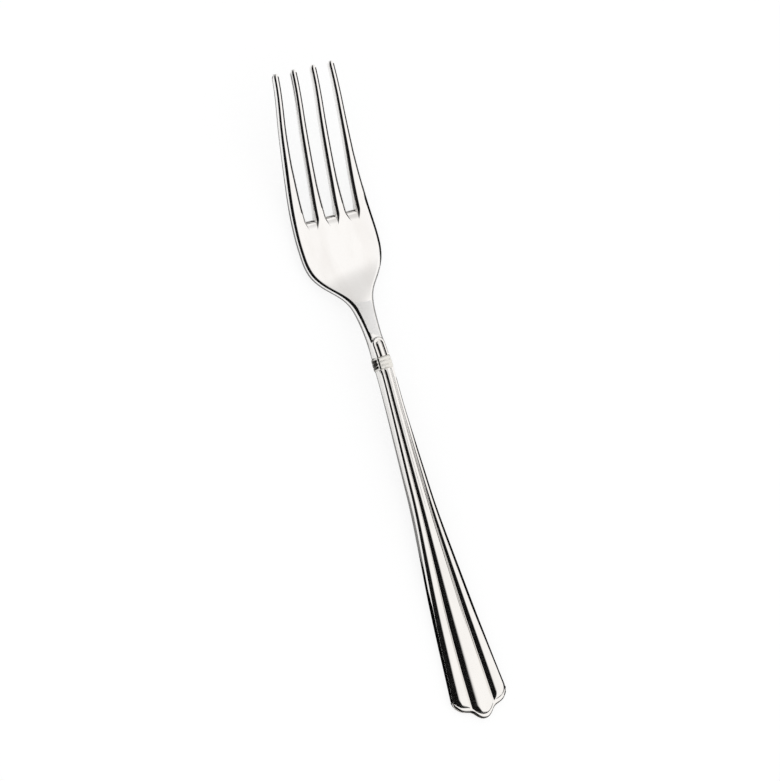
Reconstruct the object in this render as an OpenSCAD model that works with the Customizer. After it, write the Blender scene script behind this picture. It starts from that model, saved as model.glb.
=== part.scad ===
// Dinner fork with a reeded handle, lying face up on the ground plane.
// The tines point to +Y and the handle's end to -Y, and the underside rests on z = 0.
// Stations run along the fork from the tips of the tines, which are at station 0.

/* [Lengths] */
// Tips of the tines to the roots of the slots
tine_len = 44.3; // [38:0.1:52]
// Roots of the slots to the start of the neck
bowl_len = 21.7; // [17:0.1:26]
// Neck, from the shoulders to the arch moulding
neck_len = 18.6; // [14:0.1:26]
// Arch moulding, up to the collar
arch_len = 6.2; // [5:0.1:9]
// Collar of three cross bands
collar_len = 3.9; // [3:0.1:6]
// Handle below the collar, to the end of the middle lobe
handle_len = 110.3; // [90:0.1:130]

/* [Tines] */
// Width over the tips of the outer tines
tip_span = 20.9; // [20:0.1:22]
// Width over the outer tines at their roots
root_span = 26.6; // [25:0.1:28]
// Distance between the middles of the inner tines at their tips
inner_tip_pitch = 6.7; // [6:0.1:7.4]
// Distance between the middles of the inner tines at their roots
inner_root_pitch = 7.1; // [6.4:0.1:7.8]
// Width of each tine near its tip
tine_tip_w = 1.9; // [1.4:0.05:2.1]
// Width of an outer tine at its root
outer_root_w = 4.6; // [3.6:0.1:4.9]
// Width of an inner tine at its root
inner_root_w = 3.8; // [3:0.1:4.2]
// Depth of a tine near its tip
tine_tip_t = 2.5; // [1.8:0.1:3]
// Length of the rounded tip
tip_round_len = 1.3; // [0.8:0.1:2]

/* [Bowl and neck] */
// Greatest width of the bowl
bowl_w = 27.1; // [26.6:0.1:30]
// Thickness of the plate of the bowl and of the tines at their roots
plate_t = 3; // [2.4:0.1:3.4]
// Depth of the hollow of the bowl below its edges
dish = 0.8; // [0.4:0.1:1.6]
// Length of the sloped root of each slot
ramp_len = 3.8; // [2:0.1:5]
// Thickness of the lip under each sloped root
lip_t = 1.1; // [0.6:0.05:1.4]
// Width of the neck under the arch moulding
neck_w = 4.8; // [4.2:0.1:6]
// Thickness of the middle of the neck
neck_t = 3.1; // [2.4:0.1:3.6]
// Rounding of the upper edges
edge_r = 1.4; // [0.8:0.1:1.6]
// Rounding of the lower edges
back_r = 1.2; // [0.4:0.1:1.3]

/* [Arch and collar] */
// Height of the reeds at the arch and the collar
reed_top_h = 0.4; // [0.3:0.05:0.6]
// Step from the edge of the neck to the arch
arch_inset = 0.15; // [0.05:0.05:0.3]
// How far the collar stands out
collar_out = 0.2; // [0.15:0.05:0.4]
// Depth of the grooves beside and between the bands of the collar
band_groove = 0.14; // [0.08:0.02:0.2]
// Rounding of the shoulders of the collar
collar_r = 0.6; // [0.4:0.1:1.4]

/* [Handle] */
// Width of the handle under the collar
grip_top_w = 4.9; // [4.4:0.1:6]
// Width of the handle at its widest, near the end
grip_end_w = 18.8; // [16:0.1:22]
// Thickness of the handle under the collar
grip_top_t = 4.3; // [3.6:0.1:4.8]
// Thickness of the rim at the handle's end
grip_end_t = 1.7; // [1.4:0.1:2.2]
// Height of the reeds near the end
reed_end_h = 1.15; // [0.8:0.05:1.4]
// Crown of the handle's top under the collar
crown_top = 0.15; // [0.1:0.05:0.5]
// Crown of the handle's top at its end
crown_end = 0.4; // [0.1:0.05:0.8]
// Rounding of the handle's upper edges
grip_edge_r = 0.4; // [0.2:0.05:0.5]
// Width of the rim beside the outer reeds, near the end
side_rim_w = 0.45; // [0.4:0.05:0.8]
// Width of the rim round the ends of the reeds
end_rim_w = 1.4; // [1:0.1:1.8]
// Length over which a reed's end rounds off
reed_round_len = 2; // [1:0.1:2.5]
// Distance from the widest points of the handle to its end
lobe_drop = 7.4; // [5:0.1:9]

/* [Side profile] */
// Height of the tips above the ground
tip_z = 16.5; // [13:0.1:20]
// Height of the edges at the roots of the slots
root_z = 4.2; // [4:0.1:4.8]
// Height of the edges at the top of the neck
neck_z = 7.95; // [7:0.05:10]
// Height of the edges at the collar, the highest point of the handle
collar_z = 8.35; // [7.5:0.05:11]

/* [Hidden] */

steel = "gainsboro";
left = -1;
right = 1;

// How finely each region is cut along its length and across its width
tine_cuts = 20;
bowl_cuts = 12;
neck_cuts = 16;
arch_cuts = 20;
collar_cuts = 30;
grip_cuts = 34;
neck_cross_cuts = 8;
arch_cross_cuts = 24;
collar_cross_cuts = 4;
outer_reed_cuts = 7;
middle_reed_cuts = 10;
under_cuts = 6;

// Stations of the joins between the regions
root_s = tine_len;
shoulder_s = root_s + bowl_len;
arch_s = shoulder_s + neck_len;
collar_s = arch_s + arch_len;
grip_s = collar_s + collar_len;
end_s = grip_s + handle_len;

// The widest part of the bowl, whose underside touches the ground
widest_share = 0.42;
widest_s = root_s + bowl_len * widest_share;
bowl_z = plate_t + dish;

// Smooth curve through a list of pairs of a station and a value
function rise(t, i) = (t[i + 1][1] - t[i][1]) / (t[i + 1][0] - t[i][0]);
function run(t, i) = t[i + 1][0] - t[i][0];
function slope(t, i) =
    i == 0 ? rise(t, 0)
    : i == len(t) - 1 ? rise(t, i - 1)
    : (rise(t, i - 1) * run(t, i) + rise(t, i) * run(t, i - 1)) / (run(t, i) + run(t, i - 1));
function stretch(t, s, i = 0) = i >= len(t) - 2 || s < t[i + 1][0] ? i : stretch(t, s, i + 1);
function hermite(a, b, ma, mb, q) =
    a * (2 * pow(q, 3) - 3 * pow(q, 2) + 1) + ma * (pow(q, 3) - 2 * pow(q, 2) + q)
    + b * (3 * pow(q, 2) - 2 * pow(q, 3)) + mb * (pow(q, 3) - pow(q, 2));
function curve(t, s) =
    let (i = stretch(t, s), d = run(t, i), q = min(1, max(0, (s - t[i][0]) / d)))
    hermite(t[i][1], t[i + 1][1], slope(t, i) * d, slope(t, i + 1) * d, q);
function mix(a, b, q) = a + (b - a) * q;
function spread(from, span, a, b, shares) = [for (p = shares) [from + span * p[0], mix(a, b, p[1])]];

// Half of the width over the outline, without the scallops of the end
tine_side_shares = [[0.10, 0.06], [0.33, 0.31], [0.66, 0.64]];
shoulder_side_shares = [[0.63, 0.975], [0.81, 0.87], [0.95, 0.69], [1.00, 0.61]];
neck_side_shares = [[0.11, 0.435], [0.27, 0.23], [0.43, 0.12], [0.59, 0.07], [0.78, 0.03]];
grip_side_shares = [
    [0.10, 0.025], [0.20, 0.085], [0.30, 0.15], [0.38, 0.205], [0.44, 0.275], [0.50, 0.365],
    [0.57, 0.475], [0.64, 0.585], [0.71, 0.69], [0.78, 0.79], [0.86, 0.895],
];
corner_s = end_s - lobe_drop;
mid_neck_s = (shoulder_s + arch_s) / 2;
mid_grip_s = (grip_s + end_s) / 2;
half_width = concat(
    [[0, tip_span / 2]],
    spread(0, tine_len, tip_span / 2, root_span / 2, tine_side_shares),
    [[root_s, root_span / 2], [widest_s, bowl_w / 2]],
    spread(root_s, bowl_len, neck_w / 2, bowl_w / 2, shoulder_side_shares),
    spread(shoulder_s, neck_len, neck_w / 2, bowl_w / 2, neck_side_shares),
    [[arch_s, neck_w / 2], [grip_s, grip_top_w / 2]],
    spread(grip_s, handle_len, grip_top_w / 2, grip_end_w / 2, grip_side_shares),
    [[corner_s, grip_end_w / 2]]
);

// Height of the upper edges
tine_rise_shares = [[0.10, 0.925], [0.22, 0.79], [0.36, 0.60], [0.52, 0.41], [0.70, 0.22], [0.86, 0.08]];
neck_rise_shares = [[0.00, 0.10], [0.11, 0.25], [0.24, 0.47], [0.38, 0.68], [0.55, 0.81], [0.78, 0.925]];
grip_fall_shares = [
    [0.03, 0.955], [0.10, 0.83], [0.20, 0.69], [0.30, 0.556], [0.40, 0.432], [0.50, 0.308],
    [0.57, 0.22], [0.64, 0.13], [0.71, 0.055], [0.80, 0.015],
];
edge_z = concat(
    [[0, tip_z]],
    spread(0, tine_len, root_z, tip_z, tine_rise_shares),
    [[root_s, root_z], [widest_s, bowl_z]],
    spread(shoulder_s, neck_len, bowl_z, neck_z, neck_rise_shares),
    [[arch_s, neck_z], [collar_s + collar_len / 2, collar_z]],
    spread(grip_s, handle_len, grip_end_t, collar_z, grip_fall_shares),
    [[end_s, grip_end_t]]
);

// Depth from the upper edges down to the lower ones
tine_depth_shares = [[0.10, 0.5], [0.40, 1.0]];
grip_depth_shares = [[0.10, 0.87], [0.30, 0.69], [0.50, 0.49], [0.64, 0.31], [0.76, 0.17], [0.86, 0.10]];
depth = concat(
    [[0, tine_tip_t]],
    spread(0, tine_len, tine_tip_t, plate_t, tine_depth_shares),
    [[root_s, plate_t], [shoulder_s, plate_t], [mid_neck_s, neck_t]],
    [[arch_s, (neck_t + grip_top_t) / 2], [collar_s, grip_top_t], [grip_s, grip_top_t]],
    spread(grip_s, handle_len, grip_end_t, grip_top_t, grip_depth_shares),
    [[end_s, grip_end_t]]
);

// Depth of the hollow of the bowl, and the crown of the handle
hollow_start_share = 0.8;
root_hollow_share = 0.25;
hollow_shares = [[0.80, 0.60], [1.00, 0.20]];
hollow = concat(
    [[0, 0], [tine_len * hollow_start_share, 0], [root_s, dish * root_hollow_share], [widest_s, dish]],
    spread(root_s, bowl_len, 0, dish, hollow_shares),
    [[mid_neck_s, 0], [end_s, 0]]
);
arch_crown_share = 0.6;
arch_crown = crown_top * arch_crown_share;
crown = [[0, 0], [shoulder_s, 0], [arch_s, arch_crown], [grip_s, crown_top], [end_s, crown_end]];

// Width of the rim beside the outer reeds, and the height of the reeds
side_rim = [[grip_s, grip_edge_r], [mid_grip_s, grip_edge_r], [corner_s, side_rim_w]];
reed_h = [[arch_s, reed_top_h], [grip_s, reed_top_h], [mid_grip_s, reed_end_h], [end_s, reed_end_h]];
groove_share = 0.42;

function y_at(s) = end_s / 2 - s;
function bow(s, x) = (curve(crown, s) - curve(hollow, s)) * (1 - pow(x / curve(half_width, s), 2));
function sag(s, x) = curve(hollow, s) * (1 - pow(x / curve(half_width, s), 2));
function top_at(s, x) = curve(edge_z, s) + bow(s, x);
function under_at(s, x) = max(0, curve(edge_z, s) - curve(depth, s) - sag(s, x));

// A quarter round of three points, from the wall to the flat, as a pair of a side step and a drop
arc_angles = [0, 35, 65];
function arc_of(r) = [for (a = arc_angles) [r * (1 - cos(a)), r * (1 - sin(a))]];
function reversed(t) = [for (i = [len(t) - 1 : -1 : 0]) t[i]];
function steps(a, b, n) = [for (i = [0 : n]) mix(a, b, i / n)];
function open_steps(a, b, n) = [for (i = [0 : n - 1]) mix(a, b, i / n)];

// A closed ring at one station: upper points from left to right, then lower ones back again
function ring(s, from, to, r, r_low, mids, lift = 0) = concat(
    [for (p = arc_of(r)) let (x = from + p[0]) [x, y_at(s), top_at(s, from + r) + lift - p[1]]],
    [for (x = mids) [x, y_at(s), top_at(s, x) + lift]],
    [for (p = reversed(arc_of(r))) let (x = to - p[0]) [x, y_at(s), top_at(s, to - r) + lift - p[1]]],
    [for (p = arc_of(r_low)) let (x = to - p[0]) [x, y_at(s), under_at(s, to - r_low) + p[1]]],
    [for (x = steps(to - r_low, from + r_low, under_cuts)) [x, y_at(s), under_at(s, x)]],
    [for (p = reversed(arc_of(r_low))) let (x = from + p[0]) [x, y_at(s), under_at(s, from + r_low) + p[1]]]
);

// Triangles across a bent end, between its upper points and its lower ones, from left to right
function zip(points, up, low, i = 0, j = 0) =
    i == len(up) - 1 && j == len(low) - 1 ? []
    : j == len(low) - 1 || (i < len(up) - 1 && points[up[i + 1]][0] < points[low[j + 1]][0])
        ? concat([[up[i], up[i + 1], low[j]]], zip(points, up, low, i + 1, j))
        : concat([[up[i], low[j + 1], low[j]]], zip(points, up, low, i, j + 1));

// A closed skin over rings of equal length, with a flat face at each end. Where the last ring is
// bent, upper says how many of its points are upper ones.
module loft(rings, upper = 0) {
    n = len(rings[0]);
    m = len(rings);
    points = [for (r = rings) each r];
    sides = [
        for (j = [0 : m - 2], i = [0 : n - 1])
        let (k = (i + 1) % n)
        each [[j * n + i, j * n + k, (j + 1) * n + k], [j * n + i, (j + 1) * n + k, (j + 1) * n + i]]
    ];
    first = [for (i = [n - 1 : -1 : 0]) i];
    up = [for (i = [0 : upper - 1]) (m - 1) * n + i];
    low = [for (i = [n - 1 : -1 : upper]) (m - 1) * n + i];
    last = upper > 0 ? zip(points, up, low) : [[for (i = [0 : n - 1]) (m - 1) * n + i]];
    polyhedron(points, concat([first], sides, last), convexity = 6);
}

// Half widths of the tines, and the middle of an inner one
outer_taper_shares = [[0.13, 0.01], [0.29, 0.09], [0.45, 0.20], [0.61, 0.39], [0.78, 0.67], [0.94, 0.92]];
inner_taper_shares = [[0.13, 0.01], [0.29, 0.13], [0.45, 0.26], [0.61, 0.37], [0.78, 0.56], [0.94, 0.90]];
outer_half = concat(
    [[0, tine_tip_w / 2]],
    spread(0, tine_len, tine_tip_w / 2, outer_root_w / 2, outer_taper_shares),
    [[root_s, outer_root_w / 2]]
);
inner_half = concat(
    [[0, tine_tip_w / 2]],
    spread(0, tine_len, tine_tip_w / 2, inner_root_w / 2, inner_taper_shares),
    [[root_s, inner_root_w / 2]]
);
function inner_mid(s) = mix(inner_tip_pitch, inner_root_pitch, s / tine_len) / 2;
function outer_mid(s) = curve(half_width, s) - curve(outer_half, s);

// One tine: rings from its rounded tip to its root
tip_shares = [0.02, 0.12, 0.30, 0.60];
tip_flat_share = 0.25;
tip_depth_share = 0.3;
tine_round_share = 0.7;
function tip_round(s) = s >= tip_round_len ? 1 : sqrt(1 - pow(1 - s / tip_round_len, 2));
tine_stations = concat([for (q = tip_shares) q * tip_round_len], steps(tip_round_len, tine_len, tine_cuts));
function tine_ring(s, mid, half) =
    let (
        q = tip_round(s),
        w = half * max(tip_flat_share, q),
        r = min(edge_r, w * tine_round_share),
        r_low = min(back_r, w * tine_round_share),
        z_mid = curve(edge_z, s) - curve(depth, s) / 2
    )
    [
        for (p = ring(s, mid - w, mid + w, r, r_low, [mid]))
        [p[0], p[1], z_mid + (p[2] - z_mid) * mix(tip_depth_share, 1, q)]
    ];
module outer_tine(side) {
    color(steel)
        loft([for (s = tine_stations) tine_ring(s, side * outer_mid(s), curve(outer_half, s))]);
}
module inner_tine(side) {
    color(steel)
        loft([for (s = tine_stations) tine_ring(s, side * inner_mid(s), curve(inner_half, s))]);
}

// Bowl: its upper points run over four roots of tines and three slots, whose floors slope up to the face
slot_mid = (root_span / 2 - outer_root_w + inner_root_pitch / 2 + inner_root_w / 2) / 2;
slot_half = (root_span / 2 - outer_root_w - inner_root_pitch / 2 - inner_root_w / 2) / 2;
middle_half = (inner_root_pitch - inner_root_w) / 2;
slot_end_share = 0.3;
slot_end_half = slot_half * slot_end_share;
slot_round_power = 3;
wall_share = 0.95;
floor_shares = [-1, -wall_share, 0, wall_share, 1];
function ramp(s) = min(1, (s - root_s) / ramp_len);
function slot_w(s, half) =
    mix(slot_end_half, half, pow(max(0, 1 - pow(ramp(s), slot_round_power)), 1 / slot_round_power));
function slot_z(s, x, k) =
    k == 0 || k == 4 ? top_at(s, x) : mix(under_at(s, x) + lip_t, top_at(s, x), ramp(s));
function slot_points(s, mid, half) =
    let (fit = curve(half_width, s) / (root_span / 2), w = slot_w(s, half))
    [for (k = [0 : 4]) let (x = fit * (mid + w * floor_shares[k])) [x, y_at(s), slot_z(s, x, k)]];
web_shares = [0.3, 0.7];
function between(s, a, b) = [for (q = web_shares) let (x = mix(a[0], b[0], q)) [x, y_at(s), top_at(s, x)]];
function bowl_ring(s) =
    let (
        w = curve(half_width, s),
        plain = ring(s, -w, w, edge_r, back_r, [0]),
        n = len(arc_angles),
        l_slot = slot_points(s, -slot_mid, slot_half),
        m_slot = slot_points(s, 0, middle_half),
        r_slot = slot_points(s, slot_mid, slot_half)
    )
    concat(
        [for (i = [0 : n - 1]) plain[i]],
        between(s, plain[n - 1], l_slot[0]), l_slot,
        between(s, l_slot[4], m_slot[0]), m_slot,
        between(s, m_slot[4], r_slot[0]), r_slot,
        between(s, r_slot[4], plain[n + 1]),
        [for (i = [n + 1 : len(plain) - 1]) plain[i]]
    );
ramp_shares = [0, 0.2, 0.4, 0.6, 0.75, 0.87, 0.95, 1];
module bowl() {
    color(steel)
        loft([
            for (q = ramp_shares) bowl_ring(root_s + q * ramp_len),
            for (i = [1 : bowl_cuts]) bowl_ring(mix(root_s + ramp_len, shoulder_s, i / bowl_cuts)),
        ]);
}

module neck() {
    color(steel)
        loft([
            for (s = steps(shoulder_s, arch_s, neck_cuts))
            let (w = curve(half_width, s))
            ring(s, -w, w, edge_r, back_r, steps(edge_r - w, w - edge_r, neck_cross_cuts))
        ]);
}

// Cross-section of a reed, from -1 at one groove to 1 at the next
reed_power = 2.6;
function reed(t) = 1 - pow(min(1, abs(t)), reed_power);

// Arch: the outer reed bends over the end of the middle one in a half circle
function lifted(plain, s, first, count, height) = [
    for (i = [0 : len(plain) - 1])
    let (p = plain[i])
    i >= first && i < first + count ? p + [0, 0, height(s, p[0])] : p
];
arc_n = len(arc_angles);
module reed_arch() {
    reach = neck_w / 2 - arch_inset;
    groove = neck_w / 2 * groove_share;
    mid = (groove + reach) / 2;
    half = (reach - groove) / 2;
    bend_mid_s = arch_s + reach;
    around = function (s, x) s > bend_mid_s ? abs(x) : sqrt(pow(x, 2) + pow(s - bend_mid_s, 2));
    relief = function (s, x)
        let (d = around(s, x)) reed_top_h * (d < groove ? reed(d / groove) : reed((d - mid) / half));
    color(steel)
        loft([
            for (s = steps(arch_s, collar_s, arch_cuts))
            let (
                w = curve(half_width, s),
                r = mix(edge_r, arch_inset, min(1, (s - arch_s) / reach)),
                mids = steps(r - w, w - r, arch_cross_cuts)
            )
            lifted(ring(s, -w, w, r, back_r, mids), s, arc_n, len(mids), relief)
        ]);
}

// Collar: three rounded bands that stand out round the top of the handle
bands = 3;
collar_power = 0.4;
band_power = 0.6;
function bulge(turns, power) = pow(abs(sin(180 * turns)), power);
function swell(q) = collar_out * bulge(q, collar_power) - band_groove * (1 - bulge(bands * q, band_power));
function collar_ring(s, out) =
    let (
        w = curve(half_width, s),
        half_t = (curve(depth, s) + reed_top_h) / 2,
        mid_z = curve(edge_z, s) + reed_top_h - half_t,
        flat = w - collar_r
    )
    [
        for (p = ring(s, -w, w, collar_r, back_r, steps(-flat, flat, collar_cross_cuts), reed_top_h))
        [p[0] * (1 + out / w), p[1], mid_z + (p[2] - mid_z) * (1 + out / half_t)]
    ];
module collar() {
    color(steel)
        loft([
            for (q = steps(0, 1, collar_cuts))
            collar_ring(mix(collar_s, grip_s, q), swell(q))
        ]);
}

// Handle: three reeds inside a rim, and rings that bend into the scallops of the end
scallop_shares = [
    [-0.16, 0.05], [0, 0], [0.16, 0.05], [0.28, 0.17], [0.37, 0.295], [0.45, 0.375], [0.55, 0.425],
    [0.66, 0.465], [0.80, 0.55], [0.90, 0.67], [0.97, 0.82], [1, 1],
];
bend_share = 0.93;
bend_s = mix(grip_s, corner_s, bend_share);
low_round_share = 0.3;
reed_start_shares = [0, 0.003, 0.007, 0.012, 0.02];
straight_shares = concat(reed_start_shares, [for (i = [1 : grip_cuts]) i / grip_cuts]);
bent_shares = [0.2, 0.4, 0.55, 0.68, 0.78, 0.86, 0.92, 0.97, 1];
function scallop_s(share) = end_s - lobe_drop * curve(scallop_shares, abs(share));
function rounded(q) = sqrt(1 - pow(1 - min(1, max(0, q)), 2));
function grip_relief(s, x, w, left_over) =
    let (
        groove = w * groove_share,
        reach = w - curve(side_rim, s),
        mid = (groove + reach) / 2,
        half = (reach - groove) / 2,
        ends = rounded((s - grip_s) / reed_round_len) * rounded((left_over - end_rim_w) / reed_round_len)
    )
    curve(reed_h, s) * ends * (abs(x) < groove ? reed(x / groove) : reed((abs(x) - mid) / half));
function grip_ring(s, bend) =
    let (
        w = curve(half_width, s),
        reach = w - curve(side_rim, s),
        groove = w * groove_share,
        low_r = min(back_r, curve(depth, s) * low_round_share),
        mids = concat(
            open_steps(-reach, -groove, outer_reed_cuts),
            open_steps(-groove, groove, middle_reed_cuts),
            steps(groove, reach, outer_reed_cuts)
        ),
        plain = ring(s, -w, w, grip_edge_r, low_r, mids)
    )
    [
        for (i = [0 : len(plain) - 1])
        let (
            p = plain[i],
            bent_s = bend == 0 ? s : mix(bend_s, scallop_s(p[0] / w), bend),
            left_over = scallop_s(p[0] / w) - bent_s,
            on_top = i >= arc_n && i < arc_n + len(mids)
        )
        [p[0], y_at(bent_s), p[2] + (on_top ? grip_relief(bent_s, p[0], w, left_over) : 0)]
    ];
module handle() {
    color(steel)
        loft(
            concat(
                [for (q = straight_shares) grip_ring(mix(grip_s, bend_s, q), 0)],
                [for (q = bent_shares) grip_ring(mix(bend_s, corner_s, q), q)]
            ),
            upper = 2 * arc_n + 2 * outer_reed_cuts + middle_reed_cuts + 1
        );
}

outer_tine(left);  // outer_left_tine
inner_tine(left);  // inner_left_tine
inner_tine(right);  // inner_right_tine
outer_tine(right);  // outer_right_tine
bowl();
neck();
reed_arch();
collar();
handle();
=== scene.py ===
"""Dinner fork with a reeded handle: its polished steel, on a plain pale floor.

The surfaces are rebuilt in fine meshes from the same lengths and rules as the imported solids, one
piece for each region of the fork. Lengths are in millimetres until a mesh is made. Stations run
along the fork from the tips of the tines, and x is measured from its middle line.
"""

import logging
import math
from dataclasses import dataclass
from enum import Enum

import bpy
import numpy as np
from mathutils import Matrix, Vector


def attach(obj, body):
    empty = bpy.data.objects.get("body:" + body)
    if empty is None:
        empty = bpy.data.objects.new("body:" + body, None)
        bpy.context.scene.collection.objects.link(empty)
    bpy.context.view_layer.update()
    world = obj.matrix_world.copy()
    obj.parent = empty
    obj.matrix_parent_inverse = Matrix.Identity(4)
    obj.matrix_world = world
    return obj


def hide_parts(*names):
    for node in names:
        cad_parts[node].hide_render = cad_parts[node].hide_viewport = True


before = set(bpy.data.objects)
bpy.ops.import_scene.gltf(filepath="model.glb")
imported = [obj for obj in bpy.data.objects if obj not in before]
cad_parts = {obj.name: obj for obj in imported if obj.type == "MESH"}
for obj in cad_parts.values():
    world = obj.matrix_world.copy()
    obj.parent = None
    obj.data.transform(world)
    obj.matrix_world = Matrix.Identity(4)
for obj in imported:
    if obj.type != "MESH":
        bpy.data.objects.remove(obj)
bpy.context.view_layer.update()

LOG = logging.getLogger("dinner_fork")
MM = 0.001
WHITE = (1, 1, 1, 1)
# Spacing along the fork, and least head height, of the cards that only reflections show and that
# paint shade and pale reflections into the steel.
CARD_STEP = 1.0
LEAST_CARD_Z = 0.3

Pair = tuple[float, float]
Triple = tuple[float, float, float]
Pairs = list[Pair]
Place = float | tuple[Pair, ...]
Grid = np.ndarray
Extras = dict[str, list[Grid | float]]
Socket = bpy.types.NodeSocket
Thing = bpy.types.Object


class Side(Enum):
    """Side of the fork, seen from its handle."""

    LEFT = -1
    RIGHT = 1


class Slot(Enum):
    """Material slots of the record."""

    POLISHED = "polished_steel"
    REEDED = "reeded_steel"
    COLLAR = "collar_steel"


@dataclass(frozen=True)
class Sizes:
    """Lengths of the fork, as in the part's source, in millimetres."""

    tine_len: float = 44.3
    bowl_len: float = 21.7
    neck_len: float = 18.6
    arch_len: float = 6.2
    collar_len: float = 3.9
    handle_len: float = 110.3
    tip_span: float = 20.9
    root_span: float = 26.6
    inner_tip_pitch: float = 6.7
    inner_root_pitch: float = 7.1
    tine_tip_w: float = 1.9
    outer_root_w: float = 4.6
    inner_root_w: float = 3.8
    tine_tip_t: float = 2.5
    tip_round_len: float = 1.3
    bowl_w: float = 27.1
    plate_t: float = 3.0
    dish: float = 0.8
    ramp_len: float = 3.8
    lip_t: float = 1.1
    neck_w: float = 4.8
    neck_t: float = 3.1
    edge_r: float = 1.4
    back_r: float = 1.2
    reed_top_h: float = 0.4
    arch_inset: float = 0.15
    collar_out: float = 0.2
    band_groove: float = 0.14
    collar_r: float = 0.6
    grip_top_w: float = 4.9
    grip_end_w: float = 18.8
    grip_top_t: float = 4.3
    grip_end_t: float = 1.7
    reed_end_h: float = 1.15
    crown_top: float = 0.15
    crown_end: float = 0.4
    grip_edge_r: float = 0.4
    side_rim_w: float = 0.05
    end_rim_w: float = 1.4
    reed_round_len: float = 2.0
    lobe_drop: float = 7.4
    tip_z: float = 16.5
    root_z: float = 4.2
    neck_z: float = 7.95
    collar_z: float = 8.35

    @property
    def root_s(self) -> float:
        """Station of the roots of the slots."""
        return self.tine_len

    @property
    def shoulder_s(self) -> float:
        """Station of the join of bowl and neck."""
        return self.root_s + self.bowl_len

    @property
    def arch_s(self) -> float:
        """Station of the top of the arch moulding."""
        return self.shoulder_s + self.neck_len

    @property
    def collar_s(self) -> float:
        """Station of the upper side of the collar."""
        return self.arch_s + self.arch_len

    @property
    def grip_s(self) -> float:
        """Station of the start of the handle."""
        return self.collar_s + self.collar_len

    @property
    def end_s(self) -> float:
        """Station of the end of the middle lobe."""
        return self.grip_s + self.handle_len


def fitted(pairs: Pairs, at: Grid) -> Grid:
    """Fits a smooth curve through the pairs, which runs on straight beyond its ends.

    Args:
        pairs: Stations and values, in rising order of station.
        at: Stations where the curve is wanted.

    Returns:
        Its value at each of these stations.
    """
    s, v = (np.array(row) for row in zip(*pairs))
    run = np.diff(s)
    rise = np.diff(v) / run
    slope = np.empty(len(s))
    slope[0], slope[-1] = rise[0], rise[-1]
    slope[1:-1] = (rise[:-1] * run[1:] + rise[1:] * run[:-1]) / (run[1:] + run[:-1])
    i = np.clip(np.searchsorted(s, at, side="right") - 1, 0, len(run) - 1)
    q = np.clip((at - s[i]) / run[i], 0, 1)
    values = v[i] + (v[i + 1] - v[i]) * q * q * (3 - 2 * q)
    values += run[i] * (slope[i] * q * (1 - q) ** 2 - slope[i + 1] * q * q * (1 - q))
    values += np.minimum(at - s[0], 0) * slope[0]
    values += np.maximum(at - s[-1], 0) * slope[-1]
    return values


class Along:
    """Value that changes smoothly along the fork.

    STEP is the distance between its samples, MARGIN is how far they run on beyond both ends, and
    REACH is how many spreads the smoothing takes in on each side.
    """

    STEP = 0.1
    MARGIN = 12.0
    REACH = 3

    def __init__(self, pairs: Pairs, soften: float = 1.0) -> None:
        """Fits a smooth curve to the pairs.

        Args:
            pairs: Stations and values, in rising order of station.
            soften: Spread of the smoothing along the fork, in millimetres.
        """
        first, last = pairs[0][0], pairs[-1][0]
        self.stations = np.arange(first - self.MARGIN, last + self.MARGIN, self.STEP)
        self.values = self._softened(fitted(pairs, self.stations), soften)

    def _softened(self, values: Grid, soften: float) -> Grid:
        """Averages the values over a bell.

        Args:
            values: Value at each station.
            soften: Spread of the bell along the fork, in millimetres.

        Returns:
            The smoothed value at each station.
        """
        reach = int(self.REACH * soften / self.STEP)
        bell = np.exp(-0.5 * (np.arange(-reach, reach + 1) * self.STEP / soften) ** 2)
        padded = np.pad(values, reach, mode="reflect", reflect_type="odd")
        return np.convolve(padded, bell / bell.sum(), mode="valid")

    def __call__(self, s: Grid) -> Grid:
        """Returns the value at each station."""
        return np.interp(s, self.stations, self.values)


def mix(a: float, b: float, q: float) -> float:
    """Returns the value a share q of the way from a to b."""
    return a + (b - a) * q


def spread(start: float, span: float, a: float, b: float, shares: Pairs) -> Pairs:
    """Returns pairs from shares of a span and of the way from a to b."""
    return [(start + span * p, mix(a, b, q)) for p, q in shares]


def drop(inward: Grid, r: Grid | float) -> Grid:
    """Returns how far a round of radius r lies below the flat, at a distance inward from the wall."""
    left = np.clip(r - inward, 0, r)
    return r - np.sqrt(np.maximum(r * r - left * left, 0))


def rounded(q: Grid) -> Grid:
    """Returns the height of a quarter circle, from 0 at q = 0 to 1 at q = 1."""
    return np.sqrt(1 - (1 - np.clip(q, 0, 1)) ** 2)


def arc_turns(cuts: int) -> Grid:
    """Returns angles from the wall to the flat of a quarter round."""
    return np.linspace(0, math.pi / 2, cuts + 1)


def open_span(a: Grid, b: Grid, cuts: int) -> Grid:
    """Returns the columns strictly between the columns a and b, one row a station."""
    return a + (b - a) * np.linspace(0, 1, cuts + 2)[1:-1]


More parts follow.
